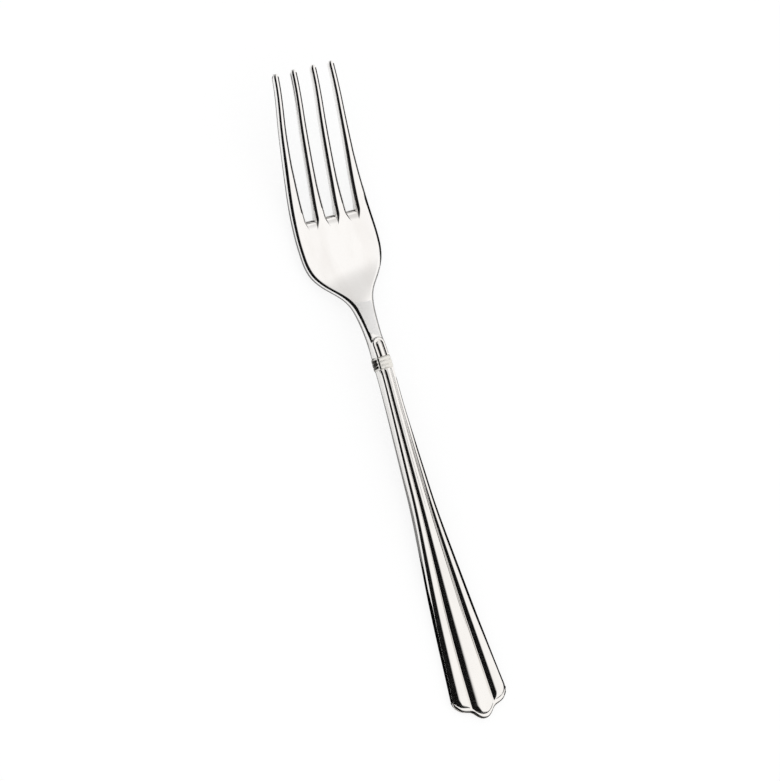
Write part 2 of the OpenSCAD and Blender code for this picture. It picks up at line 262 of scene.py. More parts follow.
class Form:
    """Outline, side profile and cross-section of the fork.

    Each list has shares of a length, with shares of the way from one size to another. In SCALLOPS
    these are shares of the half width and of the drop from the middle lobe to the corners.
    """

    TINE_SIDE = [(0.10, 0.06), (0.33, 0.31), (0.66, 0.64)]
    SHOULDER_SIDE = [(0.63, 0.975), (0.81, 0.87), (0.95, 0.69), (1.00, 0.61)]
    NECK_SIDE = [(0.11, 0.435), (0.27, 0.23), (0.43, 0.12), (0.59, 0.07), (0.78, 0.03)]
    GRIP_SIDE = [
        (0.10, 0.025), (0.20, 0.085), (0.30, 0.15), (0.38, 0.205), (0.44, 0.275), (0.50, 0.365),
        (0.57, 0.475), (0.64, 0.585), (0.71, 0.69), (0.78, 0.79), (0.86, 0.895),
    ]
    TINE_RISE = [(0.10, 0.925), (0.22, 0.79), (0.36, 0.60), (0.52, 0.41), (0.70, 0.22), (0.86, 0.08)]
    NECK_RISE = [(0.00, 0.10), (0.11, 0.25), (0.24, 0.47), (0.38, 0.68), (0.55, 0.81), (0.78, 0.925)]
    GRIP_FALL = [
        (0.03, 0.955), (0.10, 0.83), (0.20, 0.69), (0.30, 0.556), (0.40, 0.432), (0.50, 0.308),
        (0.57, 0.22), (0.64, 0.13), (0.71, 0.055), (0.80, 0.015),
    ]
    GRIP_DEPTH = [(0.10, 0.87), (0.30, 0.69), (0.50, 0.49), (0.64, 0.31), (0.76, 0.17), (0.86, 0.10)]
    OUTER_TAPER = [(0.13, 0.01), (0.29, 0.09), (0.45, 0.20), (0.61, 0.39), (0.78, 0.67), (0.94, 0.92)]
    INNER_TAPER = [(0.13, 0.01), (0.29, 0.13), (0.45, 0.26), (0.61, 0.37), (0.78, 0.56), (0.94, 0.90)]
    SCALLOPS = [
        (0, 0), (0.16, 0.05), (0.28, 0.17), (0.37, 0.295), (0.45, 0.375), (0.55, 0.425),
        (0.66, 0.465), (0.80, 0.55), (0.90, 0.67), (0.97, 0.82), (1, 1),
    ]
    TINE_DEPTH = [(0.1, 0.5), (0.4, 1.0)]
    TINE_HOLLOW = [(0.80, 0.00), (1.00, 0.25)]
    SHOULDER_HOLLOW = [(0.80, 0.60), (1.00, 0.20)]
    CROWN_START = 0.7
    NECK_CROWN = 2
    SHOULDER_ROUND = 1.1
    GRIP_ROUND = 0.75
    REED_MID = 0.45
    WIDEST_SHARE = 0.42
    GROOVE_SHARE = 0.42
    BEND_SHARE = 0.93

    def __init__(self, z: Sizes) -> None:
        """Builds every curve along the fork.

        Args:
            z: Lengths of the fork.
        """
        self.z = z
        mid_neck = (z.shoulder_s + z.arch_s) / 2
        mid_grip = (z.grip_s + z.end_s) / 2
        self.corner_s = z.end_s - z.lobe_drop
        self.bend_s = mix(z.grip_s, self.corner_s, self.BEND_SHARE)
        widest_s = z.root_s + z.bowl_len * self.WIDEST_SHARE
        bowl_z = z.plate_t + z.dish
        tip_half, root_half = z.tip_span / 2, z.root_span / 2
        self.half_width = Along(
            [(0, tip_half)]
            + spread(0, z.tine_len, tip_half, root_half, self.TINE_SIDE)
            + [(z.root_s, root_half), (widest_s, z.bowl_w / 2)]
            + spread(z.root_s, z.bowl_len, z.neck_w / 2, z.bowl_w / 2, self.SHOULDER_SIDE)
            + spread(z.shoulder_s, z.neck_len, z.neck_w / 2, z.bowl_w / 2, self.NECK_SIDE)
            + [(z.arch_s, z.neck_w / 2), (z.grip_s, z.grip_top_w / 2)]
            + spread(z.grip_s, z.handle_len, z.grip_top_w / 2, z.grip_end_w / 2, self.GRIP_SIDE)
            + [(self.corner_s, z.grip_end_w / 2)]
        )
        self.edge_z = Along(
            [(0, z.tip_z)]
            + spread(0, z.tine_len, z.root_z, z.tip_z, self.TINE_RISE)
            + [(z.root_s, z.root_z), (widest_s, bowl_z)]
            + spread(z.shoulder_s, z.neck_len, bowl_z, z.neck_z, self.NECK_RISE)
            + [(z.arch_s, z.neck_z), (z.collar_s + z.collar_len / 2, z.collar_z)]
            + spread(z.grip_s, z.handle_len, z.grip_end_t, z.collar_z, self.GRIP_FALL)
            + [(z.end_s, z.grip_end_t)]
        )
        self.depth = Along(
            [(0, z.tine_tip_t)]
            + spread(0, z.tine_len, z.tine_tip_t, z.plate_t, self.TINE_DEPTH)
            + [(z.root_s, z.plate_t), (z.shoulder_s, z.plate_t)]
            + [(mid_neck, z.neck_t), (z.arch_s, (z.neck_t + z.grip_top_t) / 2)]
            + [(z.collar_s, z.grip_top_t), (z.grip_s, z.grip_top_t)]
            + spread(z.grip_s, z.handle_len, z.grip_end_t, z.grip_top_t, self.GRIP_DEPTH)
            + [(z.end_s, z.grip_end_t)]
        )
        self.hollow = Along(
            [(0, 0)]
            + spread(0, z.tine_len, 0, z.dish, self.TINE_HOLLOW)
            + [(widest_s, z.dish)]
            + spread(z.root_s, z.bowl_len, 0, z.dish, self.SHOULDER_HOLLOW)
            + [(mid_neck, 0), (z.end_s, 0)]
        )
        self.crown = Along(
            [(0, 0), (mix(widest_s, z.shoulder_s, self.CROWN_START), 0)]
            + [(mid_neck, self.NECK_CROWN * z.crown_top), (z.arch_s, z.crown_top)]
            + [(z.grip_s, z.crown_top), (z.end_s, z.crown_end)]
        )
        grip_r = self.GRIP_ROUND * z.edge_r
        self.edge_r = Along(
            [(0, z.edge_r), (widest_s, z.edge_r), (z.shoulder_s, self.SHOULDER_ROUND * z.edge_r)]
            + [(mid_neck, z.edge_r), (z.arch_s, grip_r), (z.end_s, grip_r)]
        )
        self.side_rim = Along([(z.grip_s, z.side_rim_w), (self.corner_s, z.side_rim_w)])
        self.reed_h = Along(
            [(z.arch_s, z.reed_top_h), (z.grip_s, z.reed_top_h)]
            + [(mid_grip, mix(z.reed_top_h, z.reed_end_h, self.REED_MID))]
            + [(mix(mid_grip, z.end_s, 0.5), z.reed_end_h), (z.end_s, z.reed_end_h)]
        )
        self.outer_half = self._taper(z.outer_root_w, self.OUTER_TAPER)
        self.inner_half = self._taper(z.inner_root_w, self.INNER_TAPER)

    def _taper(self, root_w: float, shares: Pairs) -> Along:
        """Builds the curve of half a tine's width.

        Args:
            root_w: Width at the root.
            shares: Shares of the length and of the way from the tip's width to the root's.

        Returns:
            The curve along the tine.
        """
        z = self.z
        tip, root = z.tine_tip_w / 2, root_w / 2
        return Along([(0, tip)] + spread(0, z.tine_len, tip, root, shares) + [(z.root_s, root)])

    def y(self, s: Grid) -> Grid:
        """Returns the place along Y of each station."""
        return self.z.end_s / 2 - s

    def _bow(self, s: Grid, x: Grid) -> Grid:
        """Returns the share of the crown or hollow at x, from 1 in the middle to 0 at the edge."""
        return 1 - (x / self.half_width(s)) ** 2

    def top(self, s: Grid, x: Grid) -> Grid:
        """Returns the height of the upper face, without its rounded edges."""
        return self.edge_z(s) + (self.crown(s) - self.hollow(s)) * self._bow(s, x)

    def under(self, s: Grid, x: Grid) -> Grid:
        """Returns the height of the underside, without its rounded edges."""
        return np.maximum(0, self.edge_z(s) - self.depth(s) - self.hollow(s) * self._bow(s, x))

    def scallop_s(self, share: Grid) -> Grid:
        """Returns the station of the scalloped end at a share of the half width."""
        mirrored = [(-p, v) for p, v in reversed(self.SCALLOPS[1:])] + self.SCALLOPS
        return self.z.end_s - self.z.lobe_drop * fitted(mirrored, np.minimum(np.abs(share), 1))


def new_mesh(name: str, points: Grid, faces: list[tuple[int, ...]]) -> bpy.types.Mesh:
    """Makes a mesh.

    Args:
        name: Name of the mesh.
        points: Its points, in millimetres.
        faces: Numbers of the corners of each face.

    Returns:
        The mesh, in metres.
    """
    mesh = bpy.data.meshes.new(name)
    mesh.from_pydata((points * MM).tolist(), [], faces)
    mesh.update()
    return mesh


def into_scene(name: str, data: bpy.types.ID) -> Thing:
    """Makes an object and puts it in the scene.

    Args:
        name: Name of the object.
        data: Its mesh or its camera.

    Returns:
        The object, at the origin.
    """
    thing = bpy.data.objects.new(name, data)
    bpy.context.scene.collection.objects.link(thing)
    return thing


@dataclass
class Skin:
    """Closed piece between an upper and a lower sheet of points, one row a station.

    Attributes:
        upper: Points of the upper sheet, rows by columns by 3, in millimetres.
        lower: Points of the lower sheet, of the same shape.
        extras: Values that a node tree reads, by name: a grid for the upper sheet, or for both.
    """

    upper: Grid
    lower: Grid
    extras: Extras

    def faces(self) -> Grid:
        """Lays out the quads of both sheets, the walls and the two ends.

        Returns:
            Numbers of the corners, one row a face.
        """
        m, k = self.upper.shape[:2]
        up = np.arange(m * k).reshape(m, k)
        low = up + m * k

        def quads(a: Grid, b: Grid, c: Grid, d: Grid) -> Grid:
            """Returns faces whose corners are the matching entries."""
            return np.stack([a.ravel(), b.ravel(), c.ravel(), d.ravel()], axis=1)

        return np.concatenate([
            quads(up[:-1, :-1], up[1:, :-1], up[1:, 1:], up[:-1, 1:]),
            quads(low[:-1, :-1], low[:-1, 1:], low[1:, 1:], low[1:, :-1]),
            quads(up[:-1, 0], low[:-1, 0], low[1:, 0], up[1:, 0]),
            quads(up[:-1, -1], up[1:, -1], low[1:, -1], low[:-1, -1]),
            quads(up[0, :-1], up[0, 1:], low[0, 1:], low[0, :-1]),
            quads(up[-1, :-1], low[-1, :-1], low[-1, 1:], up[-1, 1:]),
        ])

    def build(
        self,
        name: str,
        crisp_ends: tuple[bool, bool] = (True, True),
        crisp_columns: tuple[int, ...] = (),
    ) -> Thing:
        """Makes the mesh object.

        Args:
            name: Name of the piece.
            crisp_ends: Whether the first and the last end meet the skin in a crisp edge.
            crisp_columns: Columns of the upper sheet that are crisp edges.

        Returns:
            The object, at the origin, with smooth faces.
        """
        m, k = self.upper.shape[:2]
        points = np.concatenate([self.upper.reshape(-1, 3), self.lower.reshape(-1, 3)])
        mesh = new_mesh(name, points, self.faces().tolist())
        rows = np.tile(np.repeat(np.arange(m), k), 2)
        ends = np.empty(len(mesh.edges) * 2, dtype=np.int64)
        mesh.edges.foreach_get("vertices", ends)
        edge_rows = rows[ends.reshape(-1, 2)]
        sharp = np.zeros(len(mesh.edges), dtype=bool)
        for crisp, row in zip(crisp_ends, (0, m - 1)):
            if crisp:
                sharp |= (edge_rows == row).all(axis=1)
        columns = np.concatenate([np.tile(np.arange(k), m), np.full(m * k, -1)])
        edge_columns = columns[ends.reshape(-1, 2)]
        for column in crisp_columns:
            sharp |= (edge_columns == column).all(axis=1)
        attribute = mesh.attributes.new("sharp_edge", "BOOLEAN", "EDGE")
        attribute.data.foreach_set("value", sharp)
        mesh.polygons.foreach_set("use_smooth", np.ones(len(mesh.polygons), dtype=bool))
        for label, values in self.extras.items():
            both = np.zeros((2, m, k), dtype=np.float32)
            both[: len(values)] = values
            extra = mesh.attributes.new(label, "FLOAT", "POINT")
            extra.data.foreach_set("value", both.ravel())
        return into_scene(name, mesh)


def sheet_points(x: Grid, y: Grid, z: Grid) -> Grid:
    """Stacks three grids of coordinates into one grid of points."""
    return np.stack(np.broadcast_arrays(x, y, z), axis=-1)


def bar(
    form: Form,
    s: Grid,
    sides: tuple[Grid, Grid],
    r: Grid,
    low_r: tuple[Grid | float, Grid | float],
    cuts: tuple[int, int],
) -> tuple[Grid, Grid, Grid]:
    """Lays out a plain bar with rounded edges along the fork.

    Args:
        form: The fork's curves.
        s: Stations of the rows, in one column, as are the next three.
        sides: Left and right wall at each station.
        r: Radius of the upper edges at each station.
        low_r: Radii of the lower edges at the left and the right.
        cuts: Cuts of each upper round, and of the flat between them.

    Returns:
        Columns x, upper heights and lower heights, one row a station.
    """
    left, right = sides
    inset = r * (1 - np.cos(arc_turns(cuts[0])))
    x = np.concatenate(
        [left + inset, open_span(left + r, right - r, cuts[1]), (right - inset)[:, ::-1]], axis=1
    )
    to_left, to_right = x - left, right - x
    upper = form.top(s, x) - drop(np.minimum(to_left, to_right), r)
    lower = form.under(s, x) + drop(to_left, low_r[0]) + drop(to_right, low_r[1])
    return x, upper, lower


class Value:
    """Output of a node, on which signs of arithmetic add further nodes."""

    def __init__(self, nodes: "Nodes", socket: Socket) -> None:
        """Takes the tree and the output."""
        self.nodes = nodes
        self.socket = socket

    def __add__(self, other: "Value | float") -> "Value":
        """Returns the sum."""
        return self.nodes.math("ADD", self, other)

    def __sub__(self, other: "Value | float") -> "Value":
        """Returns the difference."""
        return self.nodes.math("SUBTRACT", self, other)

    def __rsub__(self, other: float) -> "Value":
        """Returns what is left of a number."""
        return self.nodes.math("SUBTRACT", other, self)

    def __mul__(self, other: "Value | float") -> "Value":
        """Returns the product."""
        return self.nodes.math("MULTIPLY", self, other)

    def __truediv__(self, other: "Value | float") -> "Value":
        """Returns the quotient."""
        return self.nodes.math("DIVIDE", self, other)

    def __pow__(self, power: "Value | float") -> "Value":
        """Returns the power."""
        return self.nodes.math("POWER", self, power)

    def __abs__(self) -> "Value":
        """Returns the value without its sign."""
        return self.nodes.math("ABSOLUTE", self)


class Nodes:
    """Node tree built in the script."""

    def __init__(self, tree: bpy.types.NodeTree) -> None:
        """Takes the tree that the nodes go into."""
        self.tree = tree

    def feed(self, socket: Socket, value: object) -> None:
        """Gives an input what it reads.

        Args:
            socket: The input.
            value: A plain value, or the output of another node.
        """
        if isinstance(value, Value):
            self.tree.links.new(value.socket, socket)
        else:
            socket.default_value = value

    def add(
        self, kind: str, inputs: dict[str | int, object] | None = None, **settings: str
    ) -> bpy.types.Node:
        """Adds a node.

        Args:
            kind: Blender's name of the kind of node.
            inputs: What each input gets, by its name or number.
            settings: Settings of the node itself.

        Returns:
            The node.
        """
        node = self.tree.nodes.new(kind)
        for name, setting in settings.items():
            setattr(node, name, setting)
        for key, value in (inputs or {}).items():
            self.feed(node.inputs[key], value)
        return node

    def out(
        self,
        kind: str,
        inputs: dict[str | int, object] | None = None,
        output: str | int = 0,
        **settings: str,
    ) -> Value:
        """Adds a node as add() does, and returns one of its outputs."""
        return Value(self, self.add(kind, inputs, **settings).outputs[output])

    def math(self, operation: str, *values: Value | float) -> Value:
        """Adds a math node for Blender's name of an operation, and returns its output."""
        return self.out("ShaderNodeMath", dict(enumerate(values)), operation=operation)

    def mixed(self, share: Value, first: Value, second: Value) -> Value:
        """Returns a shader that is the second one by the share, and else the first one."""
        return self.out("ShaderNodeMixShader", {0: share, 1: first, 2: second})


class Tree(Nodes):
    """Geometry node tree, which works on pieces."""

    def __init__(self, name: str, inputs: dict[str, float]) -> None:
        """Starts a tree that takes a mesh, named sizes and a material.

        Args:
            name: Name of the tree.
            inputs: Default of each size, by its name.
        """
        super().__init__(bpy.data.node_groups.new(name, "GeometryNodeTree"))
        face = self.tree.interface
        face.new_socket(name="Mesh", in_out="INPUT", socket_type="NodeSocketGeometry")
        self.sockets = {}
        for label, value in inputs.items():
            item = face.new_socket(name=label, in_out="INPUT", socket_type="NodeSocketFloat")
            item.default_value = value
            self.sockets[label] = item.identifier
        item = face.new_socket(name="Material", in_out="INPUT", socket_type="NodeSocketMaterial")
        self.sockets["Material"] = item.identifier
        face.new_socket(name="Mesh", in_out="OUTPUT", socket_type="NodeSocketGeometry")
        self.start = self.add("NodeGroupInput")

    def given(self, label: str) -> Value:
        """Returns a named input of the tree."""
        return Value(self, self.start.outputs[label])

    def field(self, label: str) -> Value:
        """Returns a value that the mesh carries at each point."""
        kind = "GeometryNodeInputNamedAttribute"
        return self.out(kind, {"Name": label}, "Attribute", data_type="FLOAT")

    def offset_to_end(self, offset: dict[str, Value]) -> None:
        """Moves the points, then realizes instances and sets the material.

        Args:
            offset: How far each point moves, by axis, in metres.
        """
        vector = self.out("ShaderNodeCombineXYZ", offset)
        moving = {"Geometry": self.given("Mesh"), "Offset": vector}
        moved = self.out("GeometryNodeSetPosition", moving)
        real = self.out("GeometryNodeRealizeInstances", {0: moved})
        dressing = {"Geometry": real, "Material": self.given("Material")}
        self.add("NodeGroupOutput", {0: self.out("GeometryNodeSetMaterial", dressing)})

    def apply(self, piece: Thing, values: dict[str, float], material: bpy.types.Material) -> Thing:
        """Runs the tree on a piece and keeps the result as its plain mesh.

        Args:
            piece: Object whose mesh carries the tree's fields.
            values: Sizes that differ from the tree's own.
            material: Finish of the result.

        Returns:
            The same object, with the new mesh and no modifier.
        """
        modifier = piece.modifiers.new(self.tree.name, "NODES")
        modifier.node_group = self.tree
        for label, value in values.items():
            modifier[self.sockets[label]] = value
        modifier[self.sockets["Material"]] = material
        bpy.context.view_layer.update()
        graph = bpy.context.evaluated_depsgraph_get()
        mesh = bpy.data.meshes.new_from_object(piece.evaluated_get(graph), depsgraph=graph)
        piece.modifiers.remove(modifier)
        piece.data = mesh
        return piece


def reed_tree() -> Tree:
    """Builds the tree that raises three reeds out of a plain face.

    Its fields are the distance from the middle line, the places of the groove and of the outer
    reed's far side, and the height of the reeds.

    Returns:
        The tree.
    """
    t = Tree("raised_reeds", {"Reed Power": 2.6, "Height": 1.0})
    across, groove, reach = abs(t.field("across")), t.field("groove"), t.field("reach")
    inside = across / groove
    outside = abs(across - (groove + reach) * 0.5) / ((reach - groove) * 0.5)
    is_middle = t.math("LESS_THAN", across, groove)
    place = t.math("MINIMUM", is_middle * inside + (1.0 - is_middle) * outside, 1.0)
    swell = 1.0 - place ** t.given("Reed Power")
    t.offset_to_end({"Z": swell * (t.field("lift") * t.given("Height") * MM)})
    return t


def band_tree() -> Tree:
    """Builds the tree that swells a plain sleeve into a row of rounded cross bands.

    Its fields are the share of the way along the sleeve, and how the point moves sideways and
    up for each millimetre that the bands stand out.

    Returns:
        The tree.
    """
    t = Tree("cross_bands", {
        "Bands": 3.0, "Stand Out": 0.2, "Groove Depth": 0.14, "Edge Power": 0.4, "Band Power": 0.85,
    })
    turn = t.field("turn") * math.pi

    def bulge(angle: Value, power: Value) -> Value:
        """Returns a rounded swell, from 0 to 1 and back."""
        return abs(t.math("SINE", angle)) ** power

    whole = bulge(turn, t.given("Edge Power")) * t.given("Stand Out")
    band = bulge(turn * t.given("Bands"), t.given("Band Power"))
    out = (whole - (1.0 - band) * t.given("Groove Depth")) * MM
    t.offset_to_end({"X": out * t.field("out_x"), "Z": out * t.field("out_z")})
    return t


@dataclass(frozen=True)
class Steel:
    """Polished steel with faint polishing lines and a few duller patches.

    Attributes:
        slot: Material slot that the finish belongs to.
        colour: Bright colour of the steel.
        dull: Colour of its duller patches.
        roughness: Least and greatest roughness.
        line_depth: Strength of the polishing lines.
        lines_along: Whether the lines run along the fork and not across it.
        patch_scale: Fineness of the duller patches along each axis.
        patch_range: Levels of noise where a patch starts and is full.
        wear_scale: Fineness of the changes in roughness along each axis.
        wear_range: Levels of noise that give the least and the greatest roughness.
        line_scale: Fineness across and along the polishing lines.
        line_height: Height of the lines, in metres.
        details: Detail of the noise of the patches, the roughness and the lines.
    """

    slot: Slot
    colour: Triple
    dull: Triple
    roughness: Pair
    line_depth: float = 0.01
    lines_along: bool = True
    patch_scale: Triple = (160.0, 60.0, 160.0)
    patch_range: Pair = (0.45, 0.75)
    wear_scale: Triple = (900.0, 700.0, 900.0)
    wear_range: Pair = (0.3, 0.7)
    line_scale: Pair = (5000.0, 250.0)
    line_height: float = 0.0001
    details: Triple = (3.0, 4.0, 2.0)

    def material(self) -> bpy.types.Material:
        """Builds the finish from noise on Object coordinates.

        Returns:
            The material, named as its slot is.
        """
        material = bpy.data.materials.new(self.slot.value)
        material.use_nodes = True
        t = Nodes(material.node_tree)
        place = t.out("ShaderNodeTexCoord", output="Object")

        def noise(scale: Triple, detail: float) -> Value:
            """Adds noise.

            Args:
                scale: Its fineness along each axis.
                detail: Its detail.

            Returns:
                The level of the noise.
            """
            stretched = t.out("ShaderNodeMapping", {"Vector": place, "Scale": scale})
            inputs = {"Vector": stretched, "Scale": 1.0, "Detail": detail}
            return t.out("ShaderNodeTexNoise", inputs, "Fac")

        def ranged(value: Value, inner: Pair, outer: Pair) -> Value:
            """Carries a value over to another range.

            Args:
                value: The value.
                inner: Range that it comes from.
                outer: Range that it goes to.

            Returns:
                The value in the new range.
            """
            names = ("From Min", "From Max", "To Min", "To Max")
            inputs = {"Value": value, **dict(zip(names, (*inner, *outer)))}
            return t.out("ShaderNodeMapRange", inputs)

        fine, coarse = self.line_scale
        stretch = (fine, coarse, fine) if self.lines_along else (coarse, fine, coarse)
        scales = self.patch_scale, self.wear_scale, stretch
        patches, wear, lines = (noise(*pair) for pair in zip(scales, self.details))
        shade = ranged(patches, self.patch_range, (0.0, 1.0))
        tones = {"Factor": shade, "A": (*self.colour, 1.0), "B": (*self.dull, 1.0)}
        bump = {"Strength": self.line_depth, "Distance": self.line_height, "Height": lines}
        look = {
            "Metallic": 1.0,
            "Base Color": t.out("ShaderNodeMix", tones, "Result", data_type="RGBA"),
            "Roughness": ranged(wear, self.wear_range, self.roughness),
            "Normal": t.out("ShaderNodeBump", bump, "Normal"),
        }
        for label, value in look.items():
            t.feed(material.node_tree.nodes["Principled BSDF"].inputs[label], value)
        return material


FINISHES = (
    Steel(Slot.POLISHED, (0.955, 0.945, 0.935), (0.90, 0.885, 0.87), (0.05, 0.10)),
    Steel(Slot.REEDED, (0.93, 0.915, 0.895), (0.88, 0.865, 0.845), (0.06, 0.11)),
    Steel(
        Slot.COLLAR, (0.80, 0.785, 0.745), (0.70, 0.685, 0.645), (0.14, 0.24), lines_along=False
    ),
)
EXTRA_FIELDS = {"across", "groove", "reach", "lift", "turn", "out_x", "out_z"}


@dataclass
class Region:
    """One region of the fork.

    Attributes:
        form: Curves of the whole fork.
        node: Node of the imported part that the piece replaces.
        finish: Slot whose finish the piece wears.
        cuts: Rows of the mesh along the region, or along its plain part.
        round_cuts: Cuts of an upper round, and of the flat between the rounds.
    """

    form: Form
    node: str
    finish: Slot = Slot.POLISHED
    cuts: int = 90
    round_cuts: tuple[int, int] = (10, 8)

    def rows_between(self, start: float, stop: float) -> Grid:
        """Returns the region's stations in one column."""
        return np.linspace(start, stop, self.cuts)[:, None]

    def skin(
        self,
        x: Grid,
        y: Grid,
        heights: tuple[Grid, Grid],
        extras: Extras | None = None,
        **crisp: tuple[int, ...],
    ) -> Thing:
        """Makes the region's mesh.

        Args:
            x: Distances of the points from the middle line.
            y: Their places along Y.
            heights: Heights of the upper and of the lower sheet.
            extras: Values that a node tree reads, as Skin takes them.
            crisp: Crisp edges, as Skin.build takes them.

        Returns:
            The piece, with smooth faces and no finish yet.
        """
        upper, lower = (sheet_points(x, y, z) for z in heights)
        skin = Skin(upper, lower, extras or {})
        return skin.build(f"steel_{self.node}", **crisp)

    def dress(self, piece: Thing, material: bpy.types.Material) -> Thing:
        """Gives the piece its finish and its body, and hides the node that it replaces.

        Args:
            piece: The region's piece.
            material: Its finish.

        Returns:
            The same piece.
        """
        for label in [a.name for a in piece.data.attributes if a.name in EXTRA_FIELDS]:
            piece.data.attributes.remove(piece.data.attributes[label])
        piece.data.materials.clear()
        piece.data.materials.append(material)
        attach(piece, "root")
        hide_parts(self.node)
        LOG.info("%s: %d faces, %s", piece.name, len(piece.data.polygons), self.finish.value)
        return piece


@dataclass
class Tine(Region):
    """One tine, from its rounded tip to its root.

    Attributes:
        side: Side of the fork.
        outer: Whether it is an outer tine.
        tip_cuts: Rows over the rounded tip.
        tip_flat: Share of the width that is left at the very tip.
        tip_depth: Share of the thickness that is left there.
        round_share: Greatest share of half the width that an upper round takes.
        low_share: Greatest share of it that a lower round takes.
        web_fade: Length over which the lower rounds beside a slot fade out at the root.
        web_least: Share of them that is left at the root.
        card_ends: How far the card, a painted dark reflection, stays from the tip and from the root.
        card_gap: Distance of the card from the tine.
        card_drop: How far its foot lies below the tine's edge.
        card_rise: How far its head lies above that edge.
        card_tone: Grey tone of the card.
    """

    cuts: int = 110
    side: Side = Side.LEFT
    outer: bool = True
    tip_cuts: int = 14
    tip_flat: float = 0.5
    tip_depth: float = 0.45
    round_share: float = 0.94
    low_share: float = 0.9
    web_fade: float = 4.0
    web_least: float = 0.1
    card_ends: Pair = (1.0, 2.0)
    card_gap: float = 0.5
    card_drop: float = 0.8
    card_rise: float = 1.3
    card_tone: float = 0.06

    def rows(self) -> Grid:
        """Lays out the rows, which are close together at the tip.

        Returns:
            Their stations, in one column.
        """
        z = self.form.z
        tip = z.tip_round_len * (1 - np.cos(arc_turns(self.tip_cuts)))
        return np.concatenate([tip[:-1, None], self.rows_between(z.tip_round_len, z.root_s)])

    def lay_out(self, s: Grid) -> tuple[Grid, Grid]:
        """Lays out the tine's plan.

        Args:
            s: Stations along it.

        Returns:
            Its middle line and half its width at each station.
        """
        form, z = self.form, self.form.z
        half = (form.outer_half if self.outer else form.inner_half)(s)
        if self.outer:
            mid = form.half_width(s) - half
        else:
            mid = mix(z.inner_tip_pitch, z.inner_root_pitch, s / z.tine_len) / 2
        return mid * self.side.value, half

    def dark_edge_painted_reflection(self) -> Thing:
        """Makes a narrow upright card at the tine's right, which only reflections show: a painted
        dark reflection that draws the tine's dark right edge.

        Returns:
            The card, on the stage.
        """
        form = self.form
        s = np.arange(self.card_ends[0], form.z.tine_len - self.card_ends[1], CARD_STEP)
        beside = sum(self.lay_out(s)) + self.card_gap
        edge = form.edge_z(s)
        foot, head = (
            sheet_points(beside, form.y(s), z) for z in (edge - self.card_drop, edge + self.card_rise)
        )
        return make_card(f"card_{self.node}", foot, head, self.card_tone)

    def build(self) -> Thing:
        """Makes the tine.

        Returns:
            The piece, without its finish.
        """
        form, z = self.form, self.form.z
        s = self.rows()
        q = rounded(s / z.tip_round_len)
        mid, half = self.lay_out(s)
        half = half * np.maximum(self.tip_flat, q)
        r = np.minimum(z.edge_r, half * self.round_share)
        low_r = np.minimum(z.back_r, half * self.low_share)
        fade = np.clip((z.root_s - s) / self.web_fade, self.web_least, 1)
        low = [low_r * fade, low_r * fade]
        if self.outer:
            low[0 if self.side is Side.LEFT else 1] = low_r
        x, upper, lower = bar(form, s, (mid - half, mid + half), r, low, self.round_cuts)
        z_mid = form.edge_z(s) - form.depth(s) / 2
        heights = [z_mid + (sheet - z_mid) * mix(self.tip_depth, 1, q) for sheet in (upper, lower)]
        return self.skin(x, form.y(s), heights, crisp_ends=(False, True))


